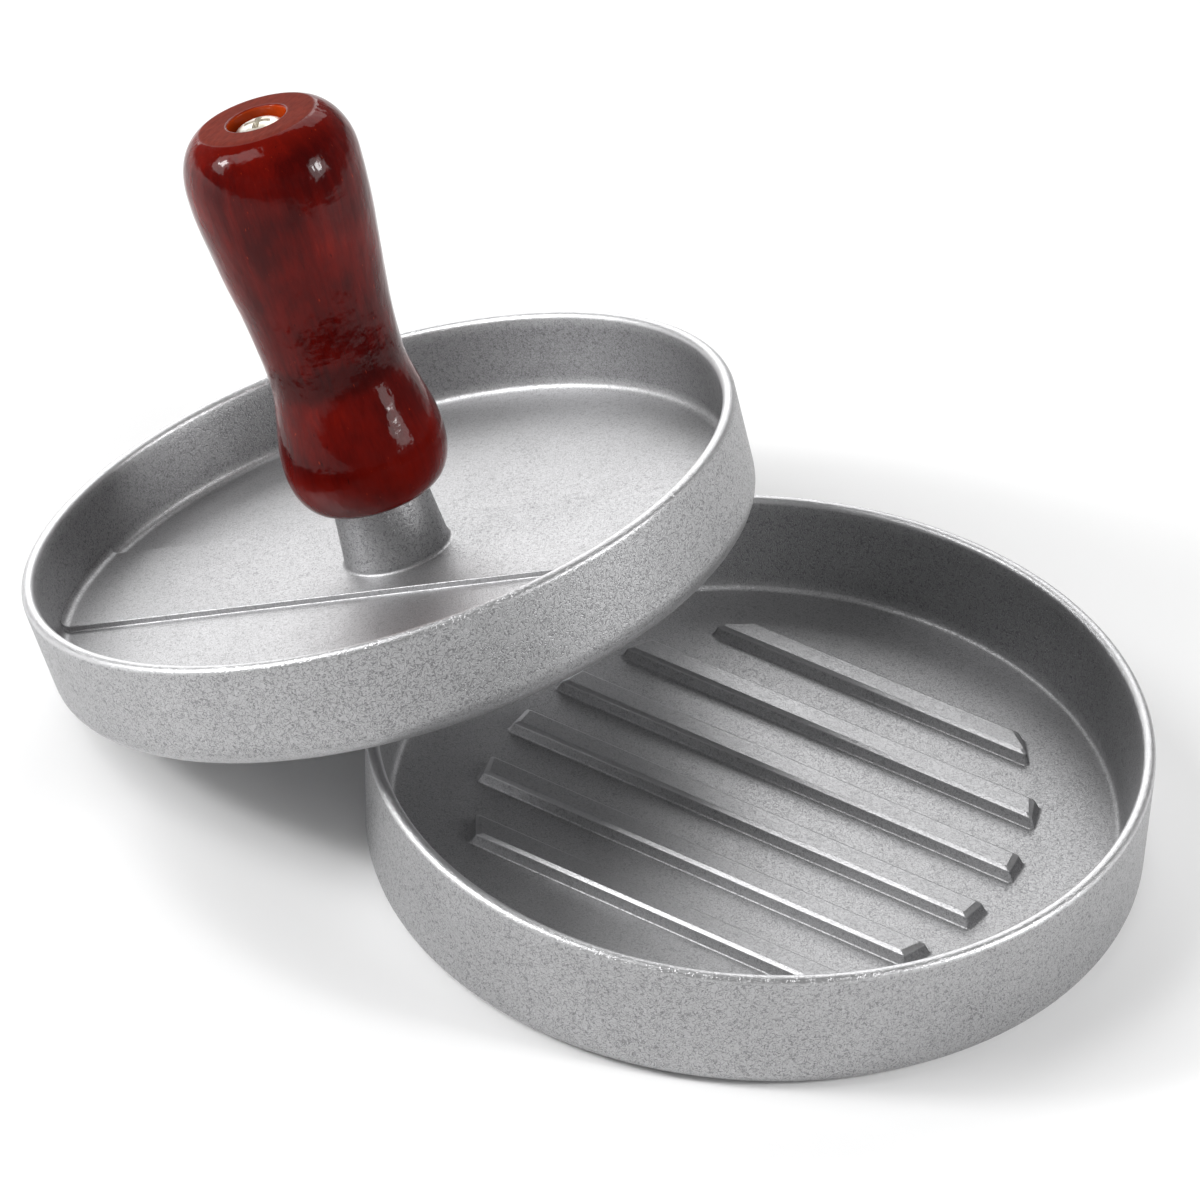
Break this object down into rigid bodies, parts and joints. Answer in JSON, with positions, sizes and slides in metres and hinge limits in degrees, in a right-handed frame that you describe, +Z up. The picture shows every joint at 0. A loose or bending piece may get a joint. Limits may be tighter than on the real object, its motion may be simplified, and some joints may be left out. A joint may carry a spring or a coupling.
{
  "type": "burger press",
  "caption": "Round burger press: a ribbed cast dish holds the meat, and a press dish with a turned wooden handle fits down inside its wall to shape a flat patty.",
  "frame": {"origin": "centre of the base dish's flat underside, on the table", "axes": "+Z up; +X from the side that the press dish leans on towards the free side of the base dish; +Y across, to the back of the pictured view"},
  "size_m": [0.1893, 0.123, 0.1004],
  "materials": {
    "cast_aluminium": "bare die casting, fine grain, bright rounded edges",
    "lacquered_wood": "deep red glossy lacquer on turned wood",
    "plated_steel": "pale zinc plating"
  },
  "bodies": {
    "base": {"base_dish": "cast_aluminium"},
    "press": {"press_plate": "cast_aluminium", "handle": "lacquered_wood", "handle_screw": "plated_steel", "screw_washer": "plated_steel"}
  },
  "joints": [
    {"name": "press_lift", "type": "slide", "parent": "base", "child": "press", "axis": [-0.3567, 0, 0.9342], "range_m": [0, 0.12]}
  ]
}
